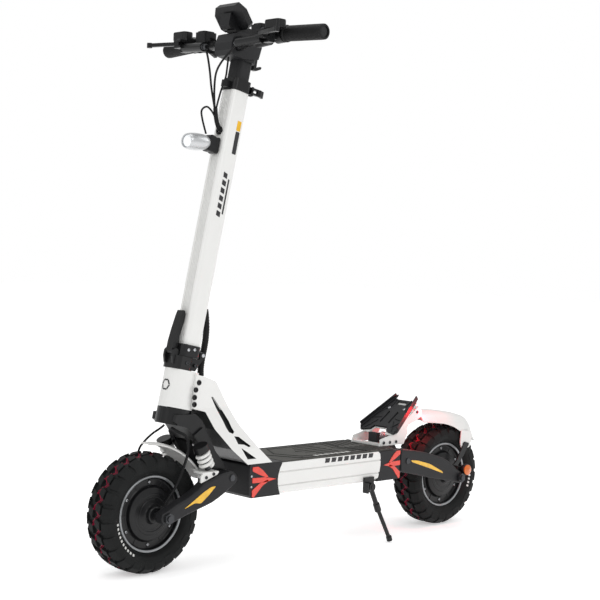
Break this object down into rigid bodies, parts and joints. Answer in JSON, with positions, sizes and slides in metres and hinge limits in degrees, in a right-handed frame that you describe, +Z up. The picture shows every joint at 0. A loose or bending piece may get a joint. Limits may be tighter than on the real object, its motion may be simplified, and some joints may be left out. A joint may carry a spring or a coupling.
{
  "type": "electric kick scooter",
  "caption": "Folding electric kick scooter with fat knobbly tyres, hub motors, sprung swing arms, fluted deck, footrest, height-adjustable bar and display.",
  "frame": {"origin": "on the ground under the middle of the outline, in the plane of symmetry", "axes": "+X forward, +Y to the rider's left, +Z up"},
  "size_m": [1.1925, 0.5228, 1.218],
  "materials": {
    "white": "gloss",
    "white_plastic": "gloss",
    "silver": "satin",
    "graphite": "satin",
    "black_metal": "satin",
    "black_plastic": "matte",
    "rubber": "matte",
    "mat_rubber": "matte",
    "tyre": "matte",
    "steel": "brushed",
    "red_lens": "gloss",
    "battery_wrap": "matte"
  },
  "bodies": {
    "chassis": {"deck_shell": "silver", "deck_mat": "mat_rubber", "deck_front_cap": "graphite", "deck_rear_cap": "graphite", "battery_pack": "battery_wrap", "motor_controller": "silver", "neck_frame": "white", "headset_bearing_lower": "steel", "headset_bearing_upper": "steel", "footrest_plate": "graphite", "footrest_frame": "white", "tail_light": "red_lens", "kickstand_bracket": "black_metal"},
    "kickstand": {"kickstand_leg": "black_metal"},
    "charge_cap": {"charge_port_cap": "rubber"},
    "steering": {"fork_yoke": "black_metal", "fold_base": "black_metal", "fold_hinge_pin": "steel", "fold_harness": "rubber"},
    "latch": {"latch_lever": "black_metal"},
    "stem": {"stem_foot": "black_metal", "stem_tube": "white", "headlight": "silver", "height_clamp": "black_metal"},
    "clamp_lever": {"height_clamp_lever": "black_metal"},
    "bar": {"inner_tube": "graphite", "stem_head": "graphite", "handlebar": "black_metal", "grip_left": "rubber", "grip_right": "rubber", "display_console": "black_plastic", "brake_perch_left": "black_metal", "brake_perch_right": "black_metal", "switch_pod": "black_plastic", "throttle_pod": "black_plastic", "control_harness": "rubber"},
    "brake_left": {"brake_lever_left": "black_metal"},
    "brake_right": {"brake_lever_right": "black_metal"},
    "throttle": {"throttle_paddle": "black_plastic"},
    "horn": {"horn_button": "red_lens"},
    "light": {"light_button": "rubber"},
    "hook": {"fold_hook": "black_metal"},
    "front_suspension": {"front_arm_left": "graphite", "front_arm_right": "graphite", "front_pivot_pin": "steel", "front_axle": "steel", "front_fender": "white_plastic", "front_spring_left": "white", "front_spring_right": "white", "front_brake_hose": "rubber", "front_motor_lead": "rubber"},
    "front_wheel": {"front_tyre": "tyre", "front_hub": "black_metal"},
    "rear_suspension": {"rear_arm": "graphite", "rear_pivot_pin": "steel", "rear_axle": "steel", "rear_fender": "white_plastic", "rear_spring": "steel"},
    "rear_wheel": {"rear_tyre": "tyre", "rear_hub": "black_metal"}
  },
  "joints": [
    {"name": "kickstand_swing", "type": "hinge", "parent": "chassis", "child": "kickstand", "pos_m": [-0.119, 0.101, 0.139], "axis": [0, 1, 0], "range_deg": [0, 60]},
    {"name": "charge_cap_flip", "type": "hinge", "parent": "chassis", "child": "charge_cap", "pos_m": [0.11, -0.0883, 0.202], "axis": [-1, 0, 0], "range_deg": [0, 85]},
    {"name": "steering_turn", "type": "hinge", "parent": "chassis", "child": "steering", "pos_m": [0.439, 0, 0.1275], "axis": [-0.2028, 0, 0.9792], "range_deg": [-40, 40]},
    {"name": "latch_swing", "type": "hinge", "parent": "steering", "child": "latch", "pos_m": [0.40885, 0, 0.4654], "axis": [0, 1, 0], "range_deg": [0, 95]},
    {"name": "stem_fold", "type": "hinge", "parent": "steering", "child": "stem", "pos_m": [0.33949, 0, 0.45512], "axis": [0, -1, 0], "range_deg": [0, 87], "deforming": ["fold_harness"]},
    {"name": "clamp_lever_swing", "type": "hinge", "parent": "stem", "child": "clamp_lever", "pos_m": [0.21788, 0.016, 1.03244], "axis": [0.2028, 0, -0.9792], "range_deg": [0, 110]},
    {"name": "bar_height", "type": "slide", "parent": "stem", "child": "bar", "axis": [-0.2028, 0, 0.9792], "range_m": [-0.035, 0.12], "deforming": ["control_harness"]},
    {"name": "brake_left_pull", "type": "hinge", "parent": "bar", "child": "brake_left", "pos_m": [0.303, 0.14, 1.138], "axis": [0, 0, 1], "range_deg": [0, 18], "stiffness_Nm_per_rad": 2, "springref_deg": -8.59},
    {"name": "brake_right_pull", "type": "hinge", "parent": "bar", "child": "brake_right", "pos_m": [0.303, -0.14, 1.138], "axis": [0, 0, -1], "range_deg": [0, 18], "stiffness_Nm_per_rad": 2, "springref_deg": -8.59},
    {"name": "throttle_press", "type": "hinge", "parent": "bar", "child": "throttle", "pos_m": [0.25318, -0.116, 1.14057], "axis": [-0.173, -0.9802, 0.0961], "range_deg": [0, 40], "stiffness_Nm_per_rad": 0.4, "springref_deg": -8.59},
    {"name": "horn_press", "type": "slide", "parent": "bar", "child": "horn", "axis": [1, 0, 0], "range_m": [0, 0.0025], "stiffness_N_per_m": 400, "springref_m": -0.001},
    {"name": "light_press", "type": "slide", "parent": "bar", "child": "light", "axis": [1, 0, 0], "range_m": [0, 0.0025], "stiffness_N_per_m": 400, "springref_m": -0.001},
    {"name": "hook_swing", "type": "hinge", "parent": "bar", "child": "hook", "pos_m": [0.21162, 0, 1.11693], "axis": [0, 1, 0], "range_deg": [0, 48]},
    {"name": "front_arm_swing", "type": "hinge", "parent": "steering", "child": "front_suspension", "pos_m": [0.298, 0, 0.196], "axis": [0, -1, 0], "range_deg": [0, 7], "stiffness_Nm_per_rad": 250, "springref_deg": -8.59, "deforming": ["front_spring_left", "front_spring_right", "front_brake_hose", "front_motor_lead"]},
    {"name": "front_wheel_spin", "type": "hinge", "parent": "front_suspension", "child": "front_wheel", "pos_m": [0.47, 0, 0.1275], "axis": [0, 1, 0], "continuous": true},
    {"name": "rear_arm_swing", "type": "hinge", "parent": "chassis", "child": "rear_suspension", "pos_m": [-0.264, 0, 0.186], "axis": [0, 1, 0], "range_deg": [0, 7], "stiffness_Nm_per_rad": 250, "springref_deg": -8.59, "deforming": ["rear_spring"]},
    {"name": "rear_wheel_spin", "type": "hinge", "parent": "rear_suspension", "child": "rear_wheel", "pos_m": [-0.463, 0, 0.1275], "axis": [0, 1, 0], "continuous": true}
  ]
}
